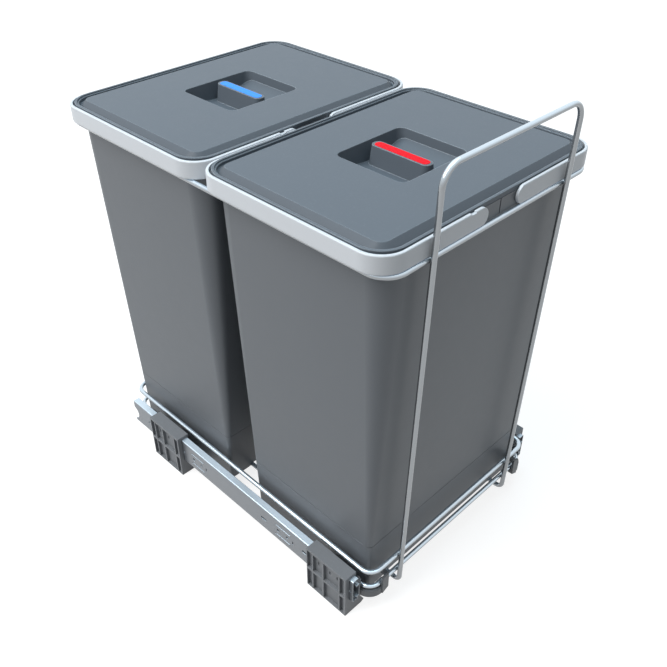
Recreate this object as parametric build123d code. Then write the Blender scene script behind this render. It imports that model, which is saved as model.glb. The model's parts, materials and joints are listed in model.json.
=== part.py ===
from build123d import *
import math
import os

# Pull-out waste bin for a 400 mm wide base cabinet: two lidded buckets hang in a wire basket
# that runs on two three-member slides, and four plastic housings hold the slides to the floor.
# Millimetres, +Z up, the pull direction is -Y, origin at the middle of the footprint on the floor.

# Whole object
half_depth = 264.6
housing_outer_x = 180.0
handle_top_z = 575.0

# Bins and their bails
bin_width = 340.0
bin_depth = 255.5
bin_gap = 2.0
bins_mid_y = 1.0
bin_corner_r = 30.0
band_top_z = 508.5
band_height = 19.9
bail_thick = 3.2
bail_gap = 0.5
bail_edge_r = 1.4
bail_end_x = 24.0
bail_notch_x = 43.0
bail_notch_length = 7.0
bail_notch_depth = 1.5
pivot_r = 2.5
pivot_clearance = 0.08
pivot_seat = 2.2

# Bucket
bucket_wire_play = 0.1
bucket_foot_drop = 4.5
bucket_foot_gap = 1.0
bucket_wall = 2.2
bucket_floor = 3.0
bucket_side_top = 14.5
bucket_side_bottom = 25.5
bucket_front_top = 8.0
bucket_front_bottom = 25.2
bucket_rear_top = 7.0
bucket_rear_bottom = 32.5
bucket_corner_top = 25.5
bucket_corner_bottom = 2.8
bucket_corner_least = 0.6
bucket_foot_r = 1.5
bucket_seam_z = 100.0
bucket_seam_width = 0.8
bucket_seam_depth = 0.35
rim_wall = 2.5
rim_flange = 2.5
rim_drop = 3.5
rim_groove = 1.6
rim_groove_depth = 0.8

# Lid
lid_rise = 1.6
lid_rim_width = 2.9
lid_seat_gap = 0.2
lid_side_gap = 0.4
lid_wall = 2.2
lid_edge_r = 0.6
lid_ledge_width = 2.0
lid_ledge_drop = 1.8
lid_channel_drop = 5.4
lid_corner_extra = 4.2
lid_plug_drop = 11.0
lid_plug_gap = 0.4
plateau_rise = 0.9
plateau_inset = 19.5
plateau_draft = 8.5
plateau_corner_r = 10.0
recess_length_x = 104.0
recess_length_y = 94.0
recess_corner_r = 9.0
recess_draft = 3.0
recess_mid_depth = 22.0
recess_side_depth = 10.0
grip_length = 78.0
grip_width = 14.0
grip_draft = 2.6
grip_corner_r = 6.5
insert_length = 72.0
insert_width = 10.6
insert_corner_r = 5.2
insert_depth = 2.0
insert_proud = 0.4
insert_clearance = 0.05

# Wire basket
frame_wire_r = 3.1
ring_wire_r = 3.0
weld_sink = 0.6
handle_half_x = 107.0
handle_corner_r = 20.0
handle_lean = 0.0225
runner_z = 21.0
runner_bend_r = 9.0
runner_joint_run = 24.0
rear_post_run = 25.1
ring_half_x = 155.0
ring_corner_r = 16.0
ring_upper_z = 69.0
ring_lower_z = 41.5
loop_inset_x = 7.7
loop_corner_r = 24.0
loop_band_gap = 0.35

# Slides
slide_length = 450.0
slide_front_y = -233.5
slide_outer_x = 173.6
slide_depth = 9.25
slide_top_z = 64.5
slide_height = 38.3
slide_steel = 1.2
slide_bend_r = 1.4
slide_lip = 4.0
slide_lip_steel = 1.0
ball_r = 1.5
ball_play = 0.1
middle_steel = 1.0
middle_back_gap = 1.1
middle_length = 430.0
middle_set_back = 2.0
middle_lip_play = 0.25
inner_length = 434.0
inner_proud = 2.0
inner_face_proud = 0.4
inner_depth = 5.7
cage_length = 180.0
cage_front_y = -110.0
cage_strip = 0.6
cage_width = 3.6
ball_count = 10
buffer_length = 7.5
buffer_clearance = 0.3
web_notch_r = 11.0
web_notch_depth = 8.5
web_notch_drop = 3.0
web_ridge_proud = 0.5
web_ridge_height = 1.1

# Web features: place from the front end, width, height and height above the middle
web_cuts = (
    (4.1, 3.2, 3.2, -0.6),
    (82.1, 10.5, 4.2, -1.0),
    (159.2, 10.5, 4.2, -1.0),
    (328.6, 3.2, 3.2, -0.6),
    (413.8, 3.2, 3.2, -0.6),
)
web_groups = (103.9, 278.9)
web_group_cuts = (
    (0.0, 1.6, 6.5, -1.0),
    (10.5, 4.0, 4.0, 0.0),
    (27.5, 4.6, 4.6, -0.6),
    (32.0, 2.0, 2.0, 7.6),
    (32.0, 2.0, 2.0, -9.4),
)
web_group_ridges = ((5.0, 25.5, 7.6), (5.0, 25.5, -9.4))

# Support housings
housing_length = 66.3
housing_front_y = -227.8
housing_rear_y = 98.1
housing_top_z = 69.6
housing_top_inner_x = 162.3
housing_clearance = 0.3
foot_tip_x = 147.3
foot_tip_z = 3.0
foot_flat_x = 152.0
foot_mid_x = 155.0
foot_mid_z = 16.0
foot_root_x = 163.0
pocket_depth = 4.0
pocket_front_edge = 2.8
pocket_edge = 1.2
pocket_top_edge = 3.3
pocket_rib_z = 33.55
pocket_rib_half = 1.75
slot_places = (16.2, 28.3, 47.5)
slot_z = 52.0
slot_width = 2.4
slot_height = 6.0
slot_depth = 1.2
floor_hole_r = 2.25
floor_hole_x = 156.5
floor_hole_inset = 13.0
screw_shank_r = 1.6
screw_head_r = 3.0
screw_head_thick = 0.8
screw_length = 3.3
screw_hole_depth = 1.95
screw_play = 0.2
screw_inset = 11.0

# Upright ribs between the pockets: place from the front end and width
pocket_ribs = ((9.7, 2.3), (36.9, 2.8), (54.9, 1.9))

# Clips between the slides and the basket
clip_shelf_height = 11.4
clip_shelf_r = 21.0
clip_shelf_inner_r = 13.0
clip_shelf_bevel = 1.6
clip_plate_thick = 3.0
clip_plate_width = 10.5
clip_plate_top_z = 57.0
clip_plate_bottom_z = 31.5
clip_hook_reach = 8.8
clip_hook_thick = 3.0
clip_block_top_z = 57.0
clip_block_length = 26.0
clip_block_set_back = 3.5
clip_side_gap = 0.4
clip_wire_play = 0.25
saddle_length = 28.0
saddle_inset = 10.0
saddle_top_z = 47.0
saddle_width = 11.7
saddle_lip = 2.0
rivet_r = 2.0
rivet_head_r = 3.4
rivet_head_thick = 1.0
rivet_z = 53.0
rivet_inset = 8.0

# Sizes that follow from the ones above
bins_front_y = bins_mid_y - bin_depth - bin_gap / 2
bin_front = {"front": bins_front_y, "rear": bins_front_y + bin_depth + bin_gap}
band_bottom_z = band_top_z - band_height
bail_mid_z = (band_top_z + band_bottom_z) / 2
bail_end_r = band_height / 2
pivot_x = bail_end_x + bail_end_r
rim_inset = bail_thick + bail_gap
rim_top_z = band_top_z - rim_drop
lid_top_z = band_top_z + lid_rise
plateau_z = lid_top_z + plateau_rise
bucket_bottom_z = runner_z + frame_wire_r + bucket_wire_play
bucket_foot_z = bucket_bottom_z - bucket_foot_drop
bucket_foot_x = handle_half_x + frame_wire_r + bucket_foot_gap
slide_bottom_z = slide_top_z - slide_height
slide_mid_z = (slide_top_z + slide_bottom_z) / 2
slide_inner_x = slide_outer_x - slide_depth
slide_rear_y = slide_front_y + slide_length
track_half = slide_height / 2 - slide_steel
ball_space = 2 * ball_r + 2 * ball_play
middle_half = track_half - ball_space
middle_back_x = slide_outer_x - slide_steel - middle_back_gap
middle_front_x = slide_inner_x + slide_lip_steel + middle_lip_play
inner_half = middle_half - middle_steel - ball_space
inner_face_x = slide_inner_x - inner_face_proud
inner_front_y = slide_front_y - inner_proud
handle_top_y = -(half_depth - frame_wire_r)
rear_post_top_y = half_depth - frame_wire_r
rear_post_y_low = rear_post_top_y - rear_post_run
runner_joint_y = handle_top_y + (handle_top_z - runner_z) * handle_lean + runner_joint_run
loop_z = band_bottom_z - loop_band_gap - ring_wire_r
weld_offset = frame_wire_r + ring_wire_r - weld_sink
shelf_top_z = ring_lower_z - ring_wire_r - clip_wire_play
shelf_bottom_z = shelf_top_z - clip_shelf_height
block_outer_x = inner_face_x - clip_side_gap
block_inner_x = ring_half_x + ring_wire_r + clip_wire_play


def handle_y(z):
    """Y of the leaning front legs at a height."""
    return handle_top_y + (handle_top_z - z) * handle_lean


def rear_post_y(z):
    """Y of the leaning rear posts at a height."""
    share = (z - runner_z) / (loop_z - runner_z)
    return rear_post_y_low + share * (rear_post_top_y - rear_post_y_low)


def slab(x0, x1, y0, y1, z0, z1):
    """Box between two corners."""
    low = Location((min(x0, x1), min(y0, y1), min(z0, z1)))
    return low * Box(abs(x1 - x0), abs(y1 - y0), abs(z1 - z0), align=(Align.MIN, Align.MIN, Align.MIN))


def rounded_face(half_x, y0, y1, z, radius):
    """Horizontal rounded rectangle, symmetric in X."""
    outline = RectangleRounded(2 * half_x, y1 - y0, radius)
    return Plane.XY.offset(z) * Pos(0, (y0 + y1) / 2) * outline


def rounded_slab(half_x, y0, y1, z0, z1, radius):
    """Upright plate with rounded corners."""
    return extrude(rounded_face(half_x, y0, y1, z0, radius), z1 - z0)


def rounded_loft(bottom, top):
    """Solid between two rounded rectangles, each (half_x, y0, y1, z, radius)."""
    return loft([rounded_face(*bottom), rounded_face(*top)])


def rod(start, direction, radius, length):
    """Round bar from a point along a direction."""
    return extrude(Plane(origin=start, z_dir=direction) * Circle(radius), length)


def bent_wire(points, radii, radius):
    """Round wire along straight runs joined by tangent bends."""
    path = FilletPolyline(*points, radius=radii)
    section = Plane(origin=path @ 0, z_dir=path % 0) * Circle(radius)
    return sweep(section, path=path)


def wire_ring(half_x, y0, y1, z, corner, radius):
    """Closed wire ring lying flat, with rounded corners."""
    path = rounded_face(half_x, y0, y1, z, corner).wire()
    section = Plane(origin=path @ 0, z_dir=path % 0) * Circle(radius)
    return sweep(section, path=path)


def mirrored(shape):
    """The same piece on the +X side."""
    return mirror(shape, about=Plane.YZ)


def inset_slab(front_y, inset, z0, z1):
    """Plate over one bin, inset evenly from the outer face of its bails."""
    y1 = front_y + bin_depth - inset
    return rounded_slab(bin_width / 2 - inset, front_y + inset, y1, z0, z1, bin_corner_r - inset)


def lid_slab(front_y, inset, z0, z1):
    """Plate over one bin with the lid's rounder corners, inset evenly from the outer face of its bails."""
    half_x = bin_width / 2 - inset
    y1 = front_y + bin_depth - inset
    return rounded_slab(half_x, front_y + inset, y1, z0, z1, bin_corner_r - inset + lid_corner_extra)


def bucket_section(front_y, z, shrink, radius_loss):
    """Sizes of the tapered bucket's outline at a height, shrunk evenly."""
    share = (z - bucket_bottom_z) / (band_bottom_z - bucket_bottom_z)
    side = bucket_side_bottom + share * (bucket_side_top - bucket_side_bottom)
    front = bucket_front_bottom + share * (bucket_front_top - bucket_front_bottom)
    rear = bucket_rear_bottom + share * (bucket_rear_top - bucket_rear_bottom)
    radius = bucket_corner_bottom + share * (bucket_corner_top - bucket_corner_bottom)
    y0 = front_y + front + shrink
    y1 = front_y + bin_depth - rear - shrink
    return (bin_width / 2 - side - shrink, y0, y1, z, max(radius - radius_loss, bucket_corner_least))


def bucket_cavity(front_y):
    """Space inside a bucket, up to the top of its flange."""
    return rounded_loft(
        bucket_section(front_y, bucket_bottom_z + bucket_floor, bucket_wall, bucket_wall),
        bucket_section(front_y, band_bottom_z + rim_flange, bucket_wall, bucket_wall),
    )


def bucket(front_y):
    """Tapered bucket below its rim, with two feet that reach down outside the runner wires."""
    body = rounded_loft(
        bucket_section(front_y, bucket_foot_z, 0, 0),
        bucket_section(front_y, band_bottom_z, 0, 0),
    )
    body = fillet(body.faces().sort_by(Axis.Z)[0].edges(), bucket_foot_r)
    y1 = front_y + bin_depth
    body -= slab(-bucket_foot_x, bucket_foot_x, front_y, y1, bucket_foot_z, bucket_bottom_z)
    seam_top_z = bucket_seam_z + bucket_seam_width
    seam = rounded_loft(
        bucket_section(front_y, bucket_seam_z, -1, 0),
        bucket_section(front_y, seam_top_z, -1, 0),
    )
    seam -= rounded_loft(
        bucket_section(front_y, bucket_seam_z, bucket_seam_depth, 0),
        bucket_section(front_y, seam_top_z, bucket_seam_depth, 0),
    )
    return body - seam - bucket_cavity(front_y)


def bucket_rim(front_y):
    """Flange and upright rim of a bucket, which the bails lie around."""
    flange_z = band_bottom_z + rim_flange
    shape = inset_slab(front_y, rim_inset, band_bottom_z, rim_top_z)
    shape -= inset_slab(front_y, rim_inset + rim_wall, flange_z, rim_top_z)
    shape -= bucket_cavity(front_y)
    y0 = front_y + rim_inset
    half = rim_groove / 2
    shape -= slab(-half, half, y0, y0 + rim_groove_depth, band_bottom_z, rim_top_z)
    for y, direction in pivot_places(front_y):
        for side in (-1, 1):
            start = (side * pivot_x, y + direction * rim_inset, bail_mid_z)
            shape -= rod(start, (0, direction, 0), pivot_r + insert_clearance, rim_wall)
    return shape


def pivot_places(front_y):
    """Outer face Y of the bails at the front and back of a bin, with the inward direction."""
    return ((front_y, 1), (front_y + bin_depth, -1))


def bail_pins(front_y):
    """Four short pivot pins standing out of a bucket's rim."""
    pins = []
    for y, direction in pivot_places(front_y):
        for side in (-1, 1):
            start = (side * pivot_x, y + direction * (bail_thick - pivot_seat + pivot_clearance), bail_mid_z)
            length = rim_inset + rim_wall - (bail_thick - pivot_seat + pivot_clearance)
            pins.append(rod(start, (0, direction, 0), pivot_r, length))
    return Compound(children=pins)


def left_bail(front_y, notched):
    """Flat U-shaped carrying handle around the left half of a bin."""
    ring = inset_slab(front_y, 0, band_bottom_z, band_top_z)
    faces = ring.faces().sort_by(Axis.Z)
    ring = fillet(faces[0].edges() + faces[-1].edges(), bail_edge_r)
    ring -= inset_slab(front_y, bail_thick, band_bottom_z, band_top_z)
    y0 = front_y
    y1 = front_y + bin_depth
    side = slab(-bin_width / 2, -pivot_x, y0, y1, band_bottom_z, band_top_z)
    end = rod((-pivot_x, y0, bail_mid_z), (0, 1, 0), bail_end_r, bin_depth)
    shape = ring & (side + end)
    for y, direction in pivot_places(front_y):
        start = (-pivot_x, y + direction * bail_thick, bail_mid_z)
        shape -= rod(start, (0, -direction, 0), pivot_r + pivot_clearance, pivot_seat)
    if notched:
        x0 = -bail_notch_x - bail_notch_length
        shape -= slab(x0, -bail_notch_x, y0, y1, band_top_z - bail_notch_depth, band_top_z)
    return shape


def recess_solid(mid_y, grow):
    """Finger bowl in a lid, grown outwards for the skin beneath it: a curved floor across X."""
    half_x = recess_length_x / 2 + grow
    half_y = recess_length_y / 2 + grow
    low_z = plateau_z - recess_mid_depth - grow
    taper = recess_draft
    bowl = rounded_loft(
        (half_x - taper, mid_y - half_y + taper, mid_y + half_y - taper, low_z, recess_corner_r + grow),
        (half_x, mid_y - half_y, mid_y + half_y, plateau_z, recess_corner_r + grow),
    )
    sag = recess_mid_depth - recess_side_depth
    chord = recess_length_x / 2
    floor_r = (chord**2 + sag**2) / (2 * sag)
    drum = rod((0, mid_y - half_y, low_z + floor_r + grow), (0, 1, 0), floor_r + grow, 2 * half_y)
    drum = Pos(0, 0, -grow) * drum
    return bowl & drum


def grip_bar(mid_y):
    """Upright grip in the middle of the bowl, wider at its foot."""
    foot_z = plateau_z - recess_mid_depth - lid_wall / 2
    half_y = grip_length / 2
    half_x = grip_width / 2
    grow = grip_draft
    foot = (half_x + grow, mid_y - half_y - grow, mid_y + half_y + grow, foot_z, grip_corner_r + grow / 2)
    top = (half_x, mid_y - half_y, mid_y + half_y, plateau_z, grip_corner_r)
    return rounded_loft(foot, top)


def insert_slab(mid_y, grow, z0, z1):
    """Stadium-shaped coloured insert on the grip."""
    half_x = insert_width / 2 + grow
    half_y = insert_length / 2 + grow
    return rounded_slab(half_x, mid_y - half_y, mid_y + half_y, z0, z1, insert_corner_r + grow)


def lid(front_y):
    """Thin moulded lid: rim, ledge, sunk channel, raised middle with a finger bowl and a grip."""
    mid_y = front_y + bin_depth / 2
    rim_face = bail_thick + bail_gap + lid_side_gap
    rim_low_z = rim_top_z + lid_seat_gap
    channel_z = lid_top_z - lid_channel_drop
    under_z = channel_z - lid_wall
    rim = lid_slab(front_y, rim_face, rim_low_z, lid_top_z)
    rim = fillet(rim.faces().sort_by(Axis.Z)[-1].edges(), lid_edge_r)
    plug_face = rim_inset + rim_wall + lid_plug_gap
    plug = lid_slab(front_y, plug_face, lid_top_z - lid_plug_drop, rim_low_z)
    plug -= lid_slab(front_y, plug_face + lid_wall, lid_top_z - lid_plug_drop, under_z)
    ledge_inset = rim_face + lid_rim_width
    ledge = lid_slab(front_y, ledge_inset, lid_top_z - lid_ledge_drop, lid_top_z)
    channel = lid_slab(front_y, ledge_inset + lid_ledge_width, channel_z, lid_top_z)
    half_x = bin_width / 2 - plateau_inset
    y0 = front_y + plateau_inset
    y1 = front_y + bin_depth - plateau_inset
    foot = plateau_draft * (plateau_z - under_z) / (plateau_z - channel_z)
    foot_r = bin_corner_r + lid_corner_extra - plateau_inset
    raised = rounded_loft(
        (half_x + foot, y0 - foot, y1 + foot, under_z, foot_r + foot),
        (half_x, y0, y1, plateau_z, plateau_corner_r),
    )
    raised = fillet(raised.faces().sort_by(Axis.Z)[-1].edges(), lid_edge_r)
    foot = plateau_draft
    hollow = rounded_loft(
        (half_x + foot, y0 - foot, y1 + foot, under_z, foot_r + foot),
        (half_x, y0, y1, plateau_z - lid_wall, plateau_corner_r),
    )
    bowl_skin = recess_solid(mid_y, lid_wall)
    bowl = recess_solid(mid_y, 0)
    shape = (rim + plug) - ledge - channel + raised - hollow + bowl_skin - bowl + grip_bar(mid_y)
    return shape - insert_slab(mid_y, insert_clearance, plateau_z - insert_depth, plateau_z + insert_depth)


def grip_insert(front_y):
    """Coloured insert that tells the bins apart."""
    mid_y = front_y + bin_depth / 2
    pad = insert_slab(mid_y, 0, plateau_z - insert_depth, plateau_z + insert_proud)
    return fillet(pad.faces().sort_by(Axis.Z)[-1].edges(), insert_proud / 2)


def front_handle():
    """One wire: two legs in front of the basket, the grab bar above it and two feet turned back."""
    foot_y = handle_y(runner_z)
    points = []
    for side in (-1, 1):
        x = side * handle_half_x
        leg = [(x, runner_joint_y, runner_z), (x, foot_y, runner_z), (x, handle_top_y, handle_top_z)]
        points += leg if side < 0 else leg[::-1]
    radii = [runner_bend_r, handle_corner_r, handle_corner_r, runner_bend_r]
    return bent_wire(points, radii, frame_wire_r)


def left_runner():
    """Wire that carries the buckets and rises behind them to the upper loop."""
    x = -handle_half_x
    top_z = loop_z + ring_wire_r
    points = [
        (x, runner_joint_y, runner_z),
        (x, rear_post_y(runner_z), runner_z),
        (x, rear_post_y(top_z), top_z),
    ]
    return bent_wire(points, [runner_bend_r], frame_wire_r)


def welded_ring(half_x, z, corner):
    """Closed ring laid against the front legs and rear posts, with a saddle at each weld."""
    y0 = handle_y(z) + weld_offset
    y1 = rear_post_y(z) - weld_offset
    ring = wire_ring(half_x, y0, y1, z, corner, ring_wire_r)
    return ring - front_handle() - left_runner() - mirrored(left_runner())


def basket_ring(z):
    """Closed ring around the feet of the buckets."""
    return welded_ring(ring_half_x, z, ring_corner_r)


def top_loop():
    """Closed loop under the bucket flanges, which the buckets hang in."""
    return welded_ring(bin_width / 2 - loop_inset_x, loop_z, loop_corner_r)


def web_cut(place, width, height, lift):
    """Cutter for a hole or slot in the slide's web."""
    start = (-slide_outer_x - slide_steel, slide_front_y + place, slide_mid_z + lift)
    profile = Plane(origin=start, x_dir=(0, 1, 0), z_dir=(1, 0, 0))
    if width > height:
        outline = SlotOverall(width, height)
    elif height > width:
        outline = Rot(0, 0, 90) * SlotOverall(height, width)
    else:
        outline = Circle(width / 2)
    return extrude(profile * outline, 3 * slide_steel)


def web_ridge(place, length, lift):
    """Small lanced ridge standing out of the slide's web."""
    y = slide_front_y + place
    z = slide_mid_z + lift
    half = web_ridge_height / 2
    return slab(-slide_outer_x - web_ridge_proud, -slide_outer_x, y, y + length, z - half, z + half)


def screw_places():
    """Y of the screws that hold the slide in its housings."""
    places = []
    for y in (housing_front_y, housing_rear_y):
        places += [y + screw_inset, y + housing_length - screw_inset]
    return places


def left_outer_member():
    """Channel-section cabinet member with its lanced tabs, slots and holes."""
    y0 = slide_front_y
    y1 = slide_rear_y
    shape = slab(-slide_outer_x, -slide_inner_x, y0, y1, slide_bottom_z, slide_top_z)
    edges = shape.edges().filter_by(Axis.Y).sort_by(Axis.X)[:2]
    shape = fillet(edges, slide_bend_r)
    shape -= slab(
        -slide_outer_x + slide_steel,
        -slide_inner_x - slide_lip_steel,
        y0,
        y1,
        slide_mid_z - track_half,
        slide_mid_z + track_half,
    )
    mouth = track_half - slide_lip
    lip_x = -slide_inner_x - slide_lip_steel
    shape -= slab(lip_x, -slide_inner_x, y0, y1, slide_mid_z - mouth, slide_mid_z + mouth)
    cuts = list(web_cuts)
    for group in web_groups:
        cuts += [(group + place, width, height, lift) for place, width, height, lift in web_group_cuts]
        for place, length, lift in web_group_ridges:
            shape += web_ridge(group + place, length, lift)
    hole = 2 * (screw_shank_r + screw_play)
    cuts += [(y - slide_front_y, hole, hole, 0) for y in screw_places()]
    for cut in cuts:
        shape -= web_cut(*cut)
    notch_mid = slide_rear_y + web_notch_r - web_notch_depth
    notch = (-slide_outer_x - slide_steel, notch_mid, slide_mid_z - web_notch_drop)
    return shape - rod(notch, (1, 0, 0), web_notch_r, 2 * slide_steel + web_ridge_proud)


def left_middle_member():
    """Channel that runs on balls inside the cabinet member."""
    y0 = slide_front_y + middle_set_back
    y1 = y0 + middle_length
    x1 = -middle_front_x
    half = middle_half
    shape = slab(-middle_back_x, x1, y0, y1, slide_mid_z - half, slide_mid_z + half)
    half = middle_half - middle_steel
    return shape - slab(-middle_back_x + middle_steel, x1, y0, y1, slide_mid_z - half, slide_mid_z + half)


def left_inner_member():
    """Channel that carries the basket, open towards the cabinet side."""
    y0 = inner_front_y
    y1 = y0 + inner_length
    back_x = inner_face_x + inner_depth
    shape = slab(-back_x, -inner_face_x, y0, y1, slide_mid_z - inner_half, slide_mid_z + inner_half)
    hollow = inner_half - slide_steel
    shape -= slab(-back_x, -inner_face_x - slide_steel, y0, y1, slide_mid_z - hollow, slide_mid_z + hollow)
    for y in rivet_places():
        shape -= rod((-back_x, y, rivet_z), (1, 0, 0), rivet_r + insert_clearance, inner_depth)
    return shape


def left_cage(half_height):
    """Two strips of balls, above and below, between two members."""
    strips = []
    mid_x = -(middle_back_x + middle_front_x) / 2
    pitch = cage_length / ball_count
    for side in (-1, 1):
        z = slide_mid_z + side * half_height
        strip = slab(
            mid_x - cage_width / 2,
            mid_x + cage_width / 2,
            cage_front_y,
            cage_front_y + cage_length,
            z - cage_strip / 2,
            z + cage_strip / 2,
        )
        for place in range(ball_count):
            y = cage_front_y + (place + 0.5) * pitch
            strip += Location((mid_x, y, z)) * Sphere(ball_r)
        strips.append(strip)
    return Compound(children=strips)


def stop_buffers():
    """Plastic stops at the back of both cabinet members."""
    y1 = slide_rear_y - web_notch_depth - 1
    low_x = slide_outer_x - slide_steel - buffer_clearance
    high_x = slide_inner_x + slide_lip_steel + buffer_clearance
    half = track_half - buffer_clearance
    left = slab(-low_x, -high_x, y1 - buffer_length, y1, slide_mid_z - half, slide_mid_z + half)
    return Compound(children=[left, mirrored(left)])


def left_housing(y0):
    """Moulded support: grid of pockets outside, slab above the slide and a sloped foot below it."""
    y1 = y0 + housing_length
    wall_x = slide_outer_x + housing_clearance
    roof_z = slide_top_z + housing_clearance
    seat_z = slide_bottom_z - housing_clearance
    outline = Polyline(
        (-housing_outer_x, 0),
        (-foot_flat_x, 0),
        (-foot_tip_x, foot_tip_z),
        (-foot_mid_x, foot_mid_z),
        (-foot_root_x, seat_z),
        (-wall_x, seat_z),
        (-wall_x, roof_z),
        (-housing_top_inner_x, roof_z),
        (-housing_top_inner_x, housing_top_z),
        (-housing_outer_x, housing_top_z),
        close=True,
    )
    profile = Plane(origin=(0, y1, 0), x_dir=(1, 0, 0), z_dir=(0, -1, 0))
    shape = extrude(make_face(profile * outline), housing_length)
    floor_x = -housing_outer_x + pocket_depth
    starts = [pocket_front_edge] + [place + width for place, width in pocket_ribs]
    ends = [place for place, width in pocket_ribs] + [housing_length - pocket_edge]
    for start, end in zip(starts, ends):
        for z0, z1 in (
            (pocket_edge, pocket_rib_z - pocket_rib_half),
            (pocket_rib_z + pocket_rib_half, housing_top_z - pocket_top_edge),
        ):
            shape -= slab(-housing_outer_x, floor_x, y0 + start, y0 + end, z0, z1)
    for place in slot_places:
        y = y0 + place
        low_z = slot_z - slot_height / 2
        shape -= slab(floor_x, floor_x + slot_depth, y, y + slot_width, low_z, low_z + slot_height)
    for y in (y0 + screw_inset, y1 - screw_inset):
        start = (-wall_x, y, slide_mid_z)
        shape -= rod(start, (-1, 0, 0), screw_shank_r + insert_clearance, screw_hole_depth)
    for y in (y0 + floor_hole_inset, y1 - floor_hole_inset):
        shape -= rod((-floor_hole_x, y, 0), (0, 0, 1), floor_hole_r, foot_mid_z * 2)
    return shape


def housing_screws():
    """Flat-headed screws that hold the cabinet members in the housings."""
    screws = []
    head_x = -slide_outer_x + slide_steel
    for y in screw_places():
        screw = rod((head_x, y, slide_mid_z), (1, 0, 0), screw_head_r, screw_head_thick)
        screw += rod((head_x, y, slide_mid_z), (-1, 0, 0), screw_shank_r, screw_length)
        screws += [screw, mirrored(screw)]
    return Compound(children=screws)


def rivet_places():
    """Y of the rivets between the carrying members and the clips."""
    rear_y = inner_front_y + inner_length - saddle_inset - saddle_length / 2
    return (inner_front_y + rivet_inset, rear_y)


def rivet_hole(y):
    """Cutter for a rivet's hole through a clip."""
    return rod((-block_outer_x, y, rivet_z), (1, 0, 0), rivet_r + insert_clearance, slide_depth)


def left_front_clip():
    """Moulded corner: block on the slide, shelf around the ring's corner, plate and hook in front."""
    corner_x = -(ring_half_x - ring_corner_r)
    ring_y = handle_y(ring_lower_z) + weld_offset
    corner_y = ring_y + ring_corner_r
    shelf = rod((corner_x, corner_y, shelf_bottom_z), (0, 0, 1), clip_shelf_r, clip_shelf_height)
    shelf = chamfer(shelf.faces().sort_by(Axis.Z)[-1].edges(), clip_shelf_bevel)
    shelf -= rod((corner_x, corner_y, shelf_bottom_z), (0, 0, 1), clip_shelf_inner_r, clip_shelf_height)
    shelf_y = corner_y - clip_shelf_r
    shelf &= slab(-block_outer_x, corner_x, shelf_y, corner_y, shelf_bottom_z, shelf_top_z)
    block_y = inner_front_y + clip_block_length
    x0 = -block_outer_x
    front_y = inner_front_y + clip_block_set_back
    block = slab(x0, -block_inner_x, front_y, block_y, shelf_bottom_z, clip_block_top_z)
    arm_x = corner_x - clip_shelf_inner_r
    arm = slab(x0, arm_x, corner_y, block_y, shelf_bottom_z, shelf_top_z)
    face_y = ring_y - ring_wire_r - clip_wire_play
    plate_x = corner_x + clip_plate_width
    outline = Polyline(
        (corner_x, shelf_bottom_z),
        (plate_x, clip_plate_bottom_z),
        (plate_x, clip_plate_top_z),
        (corner_x, clip_plate_top_z - clip_plate_width / 3),
        close=True,
    )
    profile = Plane(origin=(0, face_y, 0), x_dir=(1, 0, 0), z_dir=(0, -1, 0))
    plate = extrude(make_face(profile * outline), clip_plate_thick)
    hook_x = plate_x - clip_plate_width / 2
    hook_y = face_y + clip_hook_reach
    hook_z = clip_plate_top_z - clip_hook_thick
    hook = slab(hook_x, plate_x, face_y, hook_y, hook_z, clip_plate_top_z)
    bridge_y = face_y - clip_plate_thick
    bridge = slab(corner_x, plate_x, bridge_y, hook_y, clip_plate_bottom_z, shelf_top_z)
    shape = shelf + block + arm + plate + hook + bridge
    return shape - rivet_hole(rivet_places()[0])


def left_rear_clip():
    """Moulded saddle that carries the ring's side wire on the slide."""
    y0 = rivet_places()[1] - saddle_length / 2
    y1 = y0 + saddle_length
    shape = slab(-block_outer_x, -block_inner_x, y0, y1, shelf_bottom_z, clip_block_top_z)
    shape += slab(-block_outer_x, -block_outer_x + saddle_width, y0, y1, shelf_bottom_z, shelf_top_z)
    lip_x = -block_outer_x + saddle_width
    shape += slab(lip_x, lip_x + saddle_lip, y0, y1, shelf_bottom_z, saddle_top_z)
    return shape - rivet_hole(rivet_places()[1])


def clip_rivets():
    """Rivets that hold the clips to the carrying members."""
    rivets = []
    head_x = -inner_face_x - slide_steel
    for y in rivet_places():
        length = -block_inner_x - head_x
        rivet = rod((head_x, y, rivet_z), (1, 0, 0), rivet_r, length)
        rivet += rod((-block_inner_x, y, rivet_z), (1, 0, 0), rivet_head_r, rivet_head_thick)
        rivets += [rivet, mirrored(rivet)]
    return Compound(children=rivets)


def pair(name, shape):
    """A left piece and its mirror image, as two nodes."""
    return {name + "_left": shape, name + "_right": mirrored(shape)}


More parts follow.
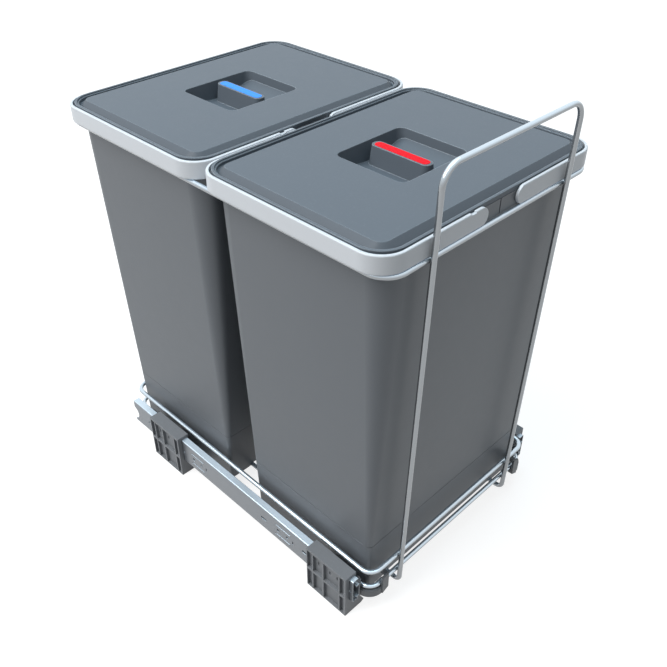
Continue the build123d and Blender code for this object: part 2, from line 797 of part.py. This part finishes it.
def nodes():
    """Every piece by its node name."""
    pieces = {}
    pieces.update(pair("housing_front", left_housing(housing_front_y)))
    pieces.update(pair("housing_rear", left_housing(housing_rear_y)))
    pieces["housing_screws"] = housing_screws()
    pieces.update(pair("slide_outer", left_outer_member()))
    pieces["stop_buffers"] = stop_buffers()
    pieces.update(pair("slide_middle", left_middle_member()))
    pieces.update(pair("slide_inner", left_inner_member()))
    pieces.update(pair("ball_cage_outer", left_cage(track_half - ball_space / 2)))
    pieces.update(pair("ball_cage_inner", left_cage(inner_half + ball_space / 2)))
    pieces.update(pair("clip_front", left_front_clip()))
    pieces.update(pair("clip_rear", left_rear_clip()))
    pieces["clip_rivets"] = clip_rivets()
    pieces["front_handle"] = front_handle()
    pieces.update(pair("runner", left_runner()))
    pieces["ring_upper"] = basket_ring(ring_upper_z)
    pieces["ring_lower"] = basket_ring(ring_lower_z)
    pieces["top_loop"] = top_loop()
    for place, front_y in bin_front.items():
        pieces["bucket_" + place] = bucket(front_y)
        pieces["bucket_rim_" + place] = bucket_rim(front_y)
        pieces["lid_" + place] = lid(front_y)
        pieces["grip_insert_" + place] = grip_insert(front_y)
        pieces["bail_pins_" + place] = bail_pins(front_y)
        pieces["bail_" + place + "_left"] = left_bail(front_y, True)
        pieces["bail_" + place + "_right"] = mirrored(left_bail(front_y, False))
    return pieces


os.makedirs("parts", exist_ok=True)
for node, shape in nodes().items():
    shape.label = node
    export_step(shape, "parts/" + node + ".step")
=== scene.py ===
"""Looks of the pull-out waste bin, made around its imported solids. Metres, +Z up, pulled towards -Y."""
import json
import math

import bpy
from mathutils import Matrix, Vector

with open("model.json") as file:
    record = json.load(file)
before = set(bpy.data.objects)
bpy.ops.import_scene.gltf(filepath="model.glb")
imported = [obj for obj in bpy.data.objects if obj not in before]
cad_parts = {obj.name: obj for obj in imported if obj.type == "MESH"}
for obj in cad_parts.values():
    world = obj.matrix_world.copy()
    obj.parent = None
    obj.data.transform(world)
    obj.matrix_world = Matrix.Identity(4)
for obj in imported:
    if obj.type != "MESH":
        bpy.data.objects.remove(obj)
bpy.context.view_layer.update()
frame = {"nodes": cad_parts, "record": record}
nodes = frame["nodes"]

# The photograph's frame and the camera found from its straight edges
PHOTO_PIXELS = 667
CAMERA_PLACE = (-0.59345, -0.62057, 0.85742)
CAMERA_AZIMUTH = -0.786494
CAMERA_ELEVATION = 0.645072
CAMERA_FOCAL_PIXELS = 801.56
SENSOR_MM = 36.0

# Floor and light, at levels that keep the ground white round a grey object
FLOOR_HALF = 9.0
FLOOR_SHADE = 0.36
FLOOR_GLOW = 0.82
WORLD_LEVEL = 0.29

# Colours that the shared effects mix in: dust, then painted shade on sloping faces, a painted edge
# highlight and a painted sky highlight
WHITE = (1.0, 1.0, 1.0, 1.0)
DUST_TINT = (0.62, 0.64, 0.66, 1.0)
SLOPE_SHADE_TINT = (0.065, 0.065, 0.070, 1.0)
EDGE_HIGHLIGHT_TINT = (0.80, 0.90, 0.97, 1.0)
SKY_HIGHLIGHT_TINT = (0.76, 0.89, 1.0, 1.0)

# The part of a noise's range, 0 to 1, in which its swing happens
NOISE_BAND = (0.3, 0.7)

# Moulded plastic: sizes of its marks, how much each of them counts, and the bands in which a mark,
# an upward face (1 on top, 0 upright) or a rounded edge (1 on the flat) comes in from 0 to 1
FLOW_SIZE = 0.07
FLOW_STRETCH = (1.0, 1.0, 0.35)
PATCH_SIZE = 0.012
SPECK_SIZE = 0.0025
CELL_SHARE = 0.35
FLOW_SWING = 0.5
PATCH_SWING = 0.25
GRAIN_SWING = 0.3
SHEEN_SWING = 0.015
GRAIN_HEIGHT = 0.0001
SPECK_BAND = (0.55, 0.72)
DUSTY_BAND = (0.5, 0.95)
ABOVE_WALL_BAND = (0.55, 0.7)
BELOW_TOP_BAND = (0.97, 0.88)
EDGE_HIGHLIGHT_BAND = (0.995, 0.93)

# Rolled metal: sizes, shares and bands of its marks in the same way, and the band of upward faces that get
# a painted sky highlight
PLATING_SIZE = 0.009
PLATING_SWING = 0.5
PLATING_SHEEN = 0.6
PIT_SIZE = 0.0009
PIT_SHADE = 0.12
PIT_BAND = (0.68, 0.78)
STREAK_SWING = 0.5
STREAK_RELIEF = 0.12
STREAK_HEIGHT = 0.00006
STREAK_BAND = (0.25, 0.75)
METAL_EDGE = 0.0004
SKY_HIGHLIGHT_BAND = (0.1, 0.8)

FLOAT = "NodeSocketFloat"
COLOR = "NodeSocketColor"
VECTOR = "NodeSocketVector"


class Tree:
    """Short way to add nodes to a material or a group and to wire them."""

    def __init__(self, tree):
        self.tree = tree

    def add(self, kind, settings=None, **inputs):
        """Adds a node, with its settings and its inputs, which are values or other nodes' outputs."""
        node = self.tree.nodes.new(kind)
        for name, value in (settings or {}).items():
            setattr(node, name, value)
        for name, value in inputs.items():
            key = int(name[1:]) if name[0] == "_" else name.replace("_", " ")
            if isinstance(value, bpy.types.NodeSocket):
                self.link(value, node.inputs[key])
            else:
                node.inputs[key].default_value = value
        return node

    def link(self, output, socket):
        self.tree.links.new(output, socket)

    def math(self, operation, a, b):
        return self.add("ShaderNodeMath", {"operation": operation}, _0=a, _1=b).outputs[0]

    def mix(self, factor, a, b, blend="MIX"):
        """Blends two colours."""
        node = self.add("ShaderNodeMix", {"data_type": "RGBA", "blend_type": blend}, _0=factor, _6=a, _7=b)
        return node.outputs[2]

    def spread(self, value, low, high, to_low=0.0, to_high=1.0):
        """Stretches a value's range and clamps it."""
        ends = {"From_Min": low, "From_Max": high, "To_Min": to_low, "To_Max": to_high}
        return self.add("ShaderNodeMapRange", {"clamp": True}, Value=value, **ends).outputs[0]

    def swing(self, noise, reach, band=NOISE_BAND):
        """Turns a noise into a swing of that reach to either side of 0."""
        return self.spread(noise, *band, -reach, reach)

    def noise(self, place, size, detail):
        """Noise with features about `size` metres across."""
        return self.scaled_noise(place, 1.0 / size, detail, 0.5)

    def scaled_noise(self, place, scale, detail, roughness):
        node = self.add("ShaderNodeTexNoise", Vector=place, Scale=scale, Detail=detail, Roughness=roughness)
        return node.outputs["Fac"]

    def place(self):
        """Where a point lies on its own piece."""
        return self.add("ShaderNodeTexCoord").outputs["Object"]

    def normal(self):
        return self.add("ShaderNodeNewGeometry").outputs["Normal"]

    def soft_normal(self, radius):
        """The normal as if every edge were rounded by that radius."""
        return self.add("ShaderNodeBevel", {"samples": 4}, Radius=radius).outputs[0]

    def upward(self):
        """1 where the surface faces up, 0 where it is upright."""
        return self.add("ShaderNodeSeparateXYZ", Vector=self.normal()).outputs[2]

    def toned(self, colour, level):
        """A colour times a grey level."""
        grey = self.add("ShaderNodeCombineColor", _0=level, _1=level, _2=level).outputs[0]
        return self.mix(1.0, colour, grey, "MULTIPLY")

    def looked_at(self):
        """1 where the camera sees the surface, straight, mirrored or through glass, and 0 for light."""
        path = self.add("ShaderNodeLightPath").outputs
        seen = self.math("MAXIMUM", path["Is Camera Ray"], path["Is Glossy Ray"])
        return self.math("MAXIMUM", seen, path["Is Transmission Ray"])


def new_group(name, inputs):
    """A shader group that puts out a surface: the group, its Tree, its inputs and its output sockets."""
    group = bpy.data.node_groups.new(name, "ShaderNodeTree")
    for label, kind in inputs:
        group.interface.new_socket(label, in_out="INPUT", socket_type=kind)
    for label, kind in (("Colour", COLOR), ("Roughness", FLOAT), ("Normal", VECTOR)):
        group.interface.new_socket(label, in_out="OUTPUT", socket_type=kind)
    tree = Tree(group)
    return group, tree, tree.add("NodeGroupInput").outputs, tree.add("NodeGroupOutput").inputs


def moulding_group():
    """Moulded plastic: spark-eroded grain, slow flow marks in the colour, a patchy sheen and some dust.

    The edge highlight input paints a pale highlight on rounded edges, and the shade input paints shade on
    faces that tilt down from the top.
    """
    group, tree, given, surface = new_group(
        "moulded plastic",
        [
            ("Colour", COLOR),
            ("Grain Size", FLOAT),
            ("Grain Depth", FLOAT),
            ("Flow", FLOAT),
            ("Roughness", FLOAT),
            ("Dust", FLOAT),
            ("Edge Round", FLOAT),
            ("Painted Edge Highlight", FLOAT),
            ("Painted Slope Shade", FLOAT),
        ],
    )
    place = tree.place()
    scale = tree.math("DIVIDE", 1.0, given["Grain Size"])
    grain = tree.scaled_noise(place, scale, 2.0, 0.6)
    cells = tree.add("ShaderNodeTexVoronoi", Vector=place, Scale=scale).outputs["Distance"]
    height = tree.math("ADD", grain, tree.math("MULTIPLY", cells, CELL_SHARE))

    drawn_out = tree.add("ShaderNodeMapping", Vector=place, Scale=FLOW_STRETCH).outputs[0]
    flow = tree.noise(drawn_out, FLOW_SIZE, 3.0)
    patches = tree.noise(place, PATCH_SIZE, 4.0)
    swing = tree.math("ADD", tree.swing(flow, FLOW_SWING), tree.swing(patches, PATCH_SWING))
    swing = tree.math("ADD", swing, tree.swing(grain, GRAIN_SWING))
    level = tree.math("ADD", 1.0, tree.math("MULTIPLY", swing, given["Flow"]))
    colour = tree.toned(given["Colour"], level)

    upward = tree.upward()
    specks = tree.spread(tree.noise(place, SPECK_SIZE, 3.0), *SPECK_BAND)
    settled = tree.math("MULTIPLY", specks, tree.spread(upward, *DUSTY_BAND))
    settled = tree.math("MULTIPLY", settled, given["Dust"])
    colour = tree.mix(settled, colour, DUST_TINT)

    # Painted shade: faces sloping between the top and the walls are darkened towards a dark tint.
    above_wall = tree.spread(upward, *ABOVE_WALL_BAND)
    painted_slope_shade = tree.math("MULTIPLY", above_wall, tree.spread(upward, *BELOW_TOP_BAND))
    painted_slope_shade = tree.math("MULTIPLY", painted_slope_shade, given["Painted Slope Shade"])
    colour = tree.mix(painted_slope_shade, colour, SLOPE_SHADE_TINT)

    soft = tree.soft_normal(given["Edge Round"])
    turn = tree.add("ShaderNodeVectorMath", {"operation": "DOT_PRODUCT"}, _0=soft, _1=tree.normal())
    # Painted highlight: where the rounded normal turns away from the true one, the colour pales towards a
    # cool white.
    edge = tree.spread(turn.outputs["Value"], *EDGE_HIGHLIGHT_BAND)
    edge = tree.math("MULTIPLY", edge, given["Painted Edge Highlight"])
    colour = tree.mix(edge, colour, EDGE_HIGHLIGHT_TINT)

    sheen = tree.swing(patches, SHEEN_SWING)
    depth = given["Grain Depth"]
    bump = tree.add("ShaderNodeBump", Strength=depth, Distance=GRAIN_HEIGHT, Height=height, Normal=soft)
    tree.link(colour, surface["Colour"])
    tree.link(tree.math("ADD", given["Roughness"], sheen), surface["Roughness"])
    tree.link(bump.outputs[0], surface["Normal"])
    return group


def rolled_group():
    """Rolled or drawn metal: fine streaks along one direction, cloudy plating and small pits.

    The sky input paints a pale, cool highlight on the faces that look up, standing in for light from above.
    """
    group, tree, given, surface = new_group(
        "rolled metal",
        [
            ("Colour", COLOR),
            ("Streak Stretch", VECTOR),
            ("Streak Size", FLOAT),
            ("Streaks", FLOAT),
            ("Cloud", FLOAT),
            ("Roughness", FLOAT),
            ("Edge Round", FLOAT),
            ("Painted Sky Highlight", FLOAT),
        ],
    )
    place = tree.place()
    stretch = given["Streak Stretch"]
    drawn_out = tree.add("ShaderNodeVectorMath", {"operation": "MULTIPLY"}, _0=place, _1=stretch)
    scale = tree.math("DIVIDE", 1.0, given["Streak Size"])
    streaks = tree.scaled_noise(drawn_out.outputs[0], scale, 3.0, 0.6)
    plating = tree.noise(place, PLATING_SIZE, 4.0)
    pits = tree.spread(tree.noise(place, PIT_SIZE, 2.0), *PIT_BAND)

    swing = tree.math("MULTIPLY", tree.swing(streaks, STREAK_SWING, STREAK_BAND), given["Streaks"])
    patch = tree.math("MULTIPLY", tree.swing(plating, PLATING_SWING), given["Cloud"])
    level = tree.math("ADD", 1.0, tree.math("ADD", swing, patch))
    level = tree.math("SUBTRACT", level, tree.math("MULTIPLY", pits, PIT_SHADE))
    colour = tree.toned(given["Colour"], level)

    # Painted highlight: faces that look up are paled and cooled as if lit by the sky.
    sky = tree.math("MULTIPLY", tree.spread(tree.upward(), *SKY_HIGHLIGHT_BAND), given["Painted Sky Highlight"])
    colour = tree.mix(sky, colour, SKY_HIGHLIGHT_TINT)

    sheen = tree.math("MULTIPLY", patch, PLATING_SHEEN)
    relief = {"Strength": STREAK_RELIEF, "Distance": STREAK_HEIGHT, "Height": streaks}
    bump = tree.add("ShaderNodeBump", Normal=tree.soft_normal(given["Edge Round"]), **relief)
    tree.link(colour, surface["Colour"])
    tree.link(tree.math("ADD", given["Roughness"], sheen), surface["Roughness"])
    tree.link(bump.outputs[0], surface["Normal"])
    return group


MOULDED = moulding_group()
ROLLED = rolled_group()


def new_material(name):
    """An empty material, its Tree and the sockets of its shader."""
    material = bpy.data.materials.new(name)
    material.use_nodes = True
    return material, Tree(material.node_tree), material.node_tree.nodes["Principled BSDF"].inputs


def finish_material(name, group, values, fixed):
    """A material whose colour, roughness and normal come from a shared group with its own values.

    `fixed` holds values for the shader's own sockets.
    """
    material, tree, shader = new_material(name)
    surface = tree.add("ShaderNodeGroup", {"node_tree": group})
    for label, value in values.items():
        surface.inputs[label].default_value = value
    for label, target in (("Colour", "Base Color"), ("Roughness", "Roughness"), ("Normal", "Normal")):
        tree.link(surface.outputs[label], shader[target])
    for label, value in fixed.items():
        shader[label].default_value = value
    return material


def moulded(
    name, colour, *, grain, depth, flow, rough, dust=0.0, edge=0.0005, light=0.0, painted_slope_shade=0.0, reflection=0.5
):
    """A moulded plastic. Grain and edge are in metres, and the others are shares. The light share paints a
    highlight on rounded edges, and the shade share for tilted faces paints shade on them.
    """
    values = {
        "Colour": (*colour, 1.0),
        "Grain Size": grain,
        "Grain Depth": depth,
        "Flow": flow,
        "Roughness": rough,
        "Dust": dust,
        "Edge Round": edge,
        "Painted Edge Highlight": light,
        "Painted Slope Shade": painted_slope_shade,
    }
    return finish_material(name, MOULDED, values, {"Metallic": 0.0, "Specular IOR Level": reflection})


def rolled(name, colour, *, size, streaks, cloud, rough, stretch=(1, 1, 1), sky=0.0, metallic=1.0):
    """A rolled metal. The size of its streaks is in metres, and the others are shares. The sky share paints
    a pale, cool highlight on upward faces.
    """
    values = {
        "Colour": (*colour, 1.0),
        "Streak Stretch": stretch,
        "Streak Size": size,
        "Streaks": streaks,
        "Cloud": cloud,
        "Roughness": rough,
        "Edge Round": METAL_EDGE,
        "Painted Sky Highlight": sky,
    }
    return finish_material(name, ROLLED, values, {"Metallic": metallic})


# The light and sky shares below paint highlights on rounded edges and upward faces, and the lid's tilted
# faces get painted shade.
FINISHES = {
    "support_plastic": moulded(
        "support grey plastic", (0.180, 0.190, 0.204),
        grain=0.0008, depth=0.3, flow=0.03, rough=0.5, dust=0.03, light=0.06,
    ),
    "slide_zinc": rolled(
        "slide zinc", (0.205, 0.22, 0.24),
        size=0.0008, streaks=0.10, cloud=0.10, rough=0.32, stretch=(1, 0.02, 1), sky=0.85, metallic=0.4,
    ),
    "ball_steel": rolled(
        "ball steel", (0.5, 0.51, 0.53),
        size=0.002, streaks=0.05, cloud=0.05, rough=0.15,
    ),
    "wire_chrome": rolled(
        "wire chrome", (0.30, 0.31, 0.32),
        size=0.0012, streaks=0.02, cloud=0.03, rough=0.13, sky=0.9, metallic=0.8,
    ),
    "clip_plastic": moulded(
        "clip dark plastic", (0.100, 0.108, 0.118),
        grain=0.0006, depth=0.2, flow=0.05, rough=0.42, dust=0.03,
    ),
    "rivet_steel": rolled(
        "rivet steel", (0.6, 0.61, 0.63),
        size=0.001, streaks=0.08, cloud=0.1, rough=0.3,
    ),
    "bucket_plastic": moulded(
        "bucket dark grey plastic", (0.118, 0.129, 0.143),
        grain=0.0007, depth=0.2, flow=0.015, rough=0.46,
    ),
    "lid_plastic": moulded(
        "lid grey plastic", (0.118, 0.139, 0.163),
        grain=0.0008, depth=0.25, flow=0.015, rough=0.42, dust=0.02,
        edge=0.0012, light=0.3, painted_slope_shade=0.3, reflection=0.2,
    ),
    "bail_plastic": moulded(
        "bail light plastic", (0.655, 0.680, 0.712),
        grain=0.0006, depth=0.1, flow=0.01, rough=0.38, edge=0.0006, light=0.6,
    ),
    "insert_blue": moulded(
        "insert blue plastic", (0.055, 0.300, 0.980),
        grain=0.0005, depth=0.1, flow=0.02, rough=0.4, reflection=0.1,
    ),
    "insert_red": moulded(
        "insert red plastic", (0.900, 0.010, 0.022),
        grain=0.0005, depth=0.1, flow=0.02, rough=0.4, reflection=0.05,
    ),
    "pin_plastic": moulded(
        "pin dark plastic", (0.060, 0.062, 0.066),
        grain=0.0005, depth=0.1, flow=0.05, rough=0.4,
    ),
}
for part in frame["record"]["subparts"]:
    mesh = nodes[part["node"]].data
    mesh.materials.clear()
    mesh.materials.append(FINISHES[part["material_slot"]])


def add_to_scene(name, data):
    """A new object with that data, in the scene."""
    thing = bpy.data.objects.new(name, data)
    bpy.context.scene.collection.objects.link(thing)
    return thing


def add_floor():
    """Plain pale floor under the supports, wide enough to fill every view."""
    mesh = bpy.data.meshes.new("floor")
    corners = [(x * FLOOR_HALF, y * FLOOR_HALF, 0) for x, y in ((-1, -1), (1, -1), (1, 1), (-1, 1))]
    mesh.from_pydata(corners, [], [(0, 1, 2, 3)])
    floor = add_to_scene("floor", mesh)
    material, tree, shader = new_material("floor pale")
    shader["Base Color"].default_value = (FLOOR_SHADE, FLOOR_SHADE, FLOOR_SHADE, 1.0)
    shader["Roughness"].default_value = 1.0
    shader["Specular IOR Level"].default_value = 0.0
    shader["Emission Color"].default_value = WHITE
    tree.link(tree.math("MULTIPLY", tree.looked_at(), FLOOR_GLOW), shader["Emission Strength"])
    mesh.materials.append(material)


def light_world():
    """White to the camera and in reflections, and an even soft light on everything."""
    world = bpy.data.worlds.new("studio")
    bpy.context.scene.world = world
    world.use_nodes = True
    tree = Tree(world.node_tree)
    background = world.node_tree.nodes["Background"].inputs
    background["Color"].default_value = WHITE
    tree.link(tree.spread(tree.looked_at(), 0.0, 1.0, WORLD_LEVEL, 1.0), background["Strength"])


def add_lamp(name, *, place, target, size, watts, colour=(1.0, 1.0, 1.0)):
    """Large soft square lamp facing a target."""
    data = bpy.data.lights.new(name, "AREA")
    data.size = size
    data.energy = watts
    data.color = colour
    lamp = add_to_scene(name, data)
    turn = (Vector(target) - Vector(place)).to_track_quat("-Z", "Y")
    lamp.matrix_world = Matrix.Translation(place) @ turn.to_matrix().to_4x4()


def add_camera():
    """Camera at the photograph's place, angle and field of view."""
    data = bpy.data.cameras.new("camera")
    data.sensor_width = SENSOR_MM
    data.lens = CAMERA_FOCAL_PIXELS * SENSOR_MM / PHOTO_PIXELS
    camera = add_to_scene("camera", data)
    az, el = CAMERA_AZIMUTH, CAMERA_ELEVATION
    back = Vector((math.sin(az) * math.cos(el), -math.cos(az) * math.cos(el), math.sin(el)))
    right = Vector((math.cos(az), math.sin(az), 0.0))
    turn = Matrix((right, back.cross(right), back)).transposed()
    camera.matrix_world = Matrix.Translation(CAMERA_PLACE) @ turn.to_4x4()
    bpy.context.scene.camera = camera


add_floor()
light_world()
add_lamp("key lamp", place=(-1.9, 0.8, 2.95), target=(0.0, 0.0, 0.3), size=2.4, watts=102.0)
add_lamp(
    "sky lamp", place=(0.3, 0.3, 3.4), target=(0.0, 0.0, 0.4), size=3.0, watts=57.0,
    colour=(0.57, 0.84, 1.0),
)
add_camera()
bpy.context.scene.view_settings.view_transform = "Standard"
